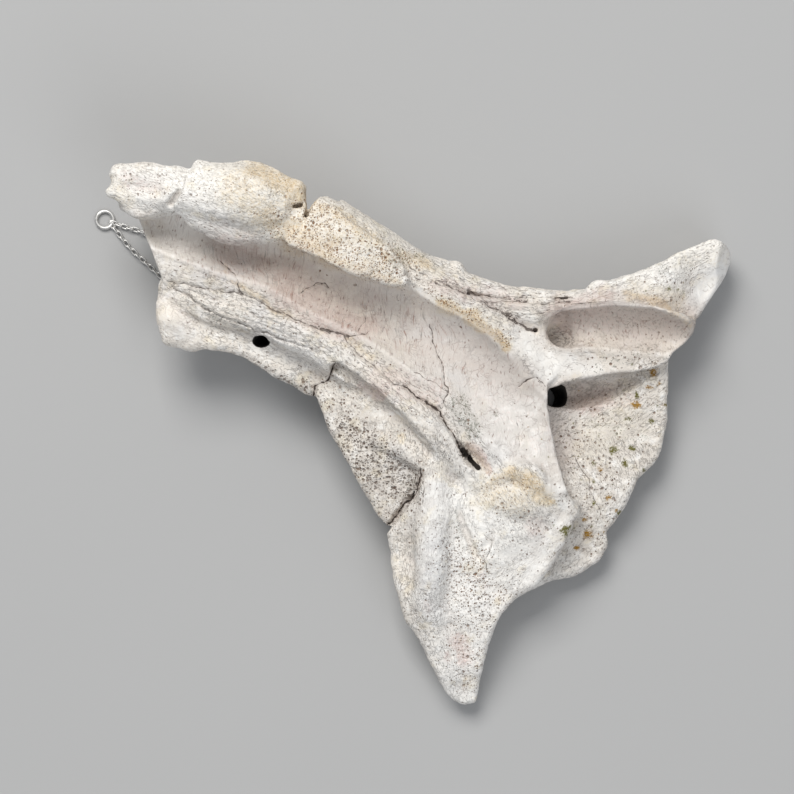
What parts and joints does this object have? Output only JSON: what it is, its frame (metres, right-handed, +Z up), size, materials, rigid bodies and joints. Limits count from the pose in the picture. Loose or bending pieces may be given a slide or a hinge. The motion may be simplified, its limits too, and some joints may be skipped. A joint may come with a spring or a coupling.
{
  "type": "weathered whale bone",
  "caption": "Broken, weathered whale bone with a long open canal, plates and processes, lying on its underside, with a fine hanging chain and ring",
  "frame": {"origin": "centre of the bottom of the box that holds the bone, the chain and the ring, on the surface it lies on", "axes": "+X runs to the right along the longest extent, +Y up the plan as seen from above, +Z up"},
  "size_m": [0.5455, 0.4631, 0.142],
  "materials": {
    "bone": "dry weathered bone, warm white, porous and finely cracked",
    "ochre_bone": "dry porous bone, stained ochre",
    "steel": "dull silver jewellery steel"
  },
  "bodies": {
    "root": {"rim_end": "ochre_bone", "rim_hump": "ochre_bone", "porous_block": "ochre_bone", "canal_floor": "bone", "upper_wall": "bone", "lower_bar": "bone", "lower_flange": "bone", "porous_plate": "bone", "lower_process": "bone", "back_plate": "bone", "lobe": "bone", "upper_process": "bone", "back_bar": "bone", "ring": "steel", "screw_eye": "steel", "chain_upper": "steel", "chain_lower": "steel"}
  },
  "joints": []
}
